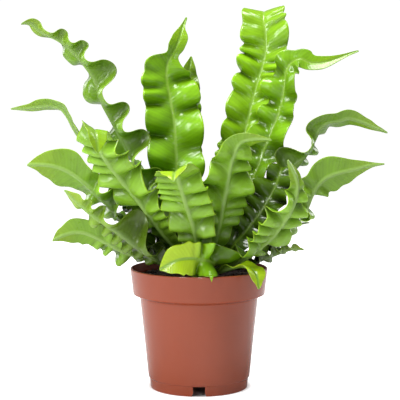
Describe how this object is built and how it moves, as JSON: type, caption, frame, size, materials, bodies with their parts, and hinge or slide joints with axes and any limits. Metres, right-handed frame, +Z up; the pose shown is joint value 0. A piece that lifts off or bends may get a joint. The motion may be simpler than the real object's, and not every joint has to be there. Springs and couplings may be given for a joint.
{
  "type": "potted fern",
  "caption": "Crinkled bird's nest fern with long ruffled strap fronds growing in a round terracotta-coloured plastic nursery pot.",
  "frame": {"origin": "on the ground under the middle of the whole plant, which is on the pot's axis to within a few millimetres", "axes": "+Z up, +X to the plant's right as seen from the front, -Y to the front"},
  "size_m": [0.3299, 0.2274, 0.3366],
  "materials": {
    "terracotta_plastic": "satin injection-moulded plastic in a terracotta colour",
    "potting_mix": "moist dark peat and bark mix, loose and matte",
    "crown_scales": "matte brown scales on the short stem",
    "frond_green": "bright green leathery leaf, glossy above and paler and satin beneath"
  },
  "bodies": {
    "root": {"nursery_pot": "terracotta_plastic", "potting_soil": "potting_mix", "fern_crown": "crown_scales", "frond_tall_back_left": "frond_green", "frond_tall_back_right": "frond_green", "frond_tall_behind": "frond_green", "frond_ribbon_right": "frond_green", "frond_spiral_left": "frond_green", "frond_long_left": "frond_green", "frond_folded_left": "frond_green", "frond_broad_left": "frond_green", "frond_low_left": "frond_green", "frond_yellow_left": "frond_green", "frond_inner_left": "frond_green", "frond_front_centre": "frond_green", "frond_front_right": "frond_green", "frond_broad_right": "frond_green", "frond_dark_right": "frond_green", "frond_spiral_right": "frond_green", "frond_folded_right": "frond_green", "frond_low_right": "frond_green", "frond_rim_right": "frond_green", "frond_rim_front": "frond_green", "frond_back_1": "frond_green", "frond_back_2": "frond_green", "frond_back_3": "frond_green", "frond_back_4": "frond_green", "frond_back_5": "frond_green", "frond_back_6": "frond_green", "frond_back_7": "frond_green", "frond_back_8": "frond_green", "frond_back_9": "frond_green"}
  },
  "joints": []
}
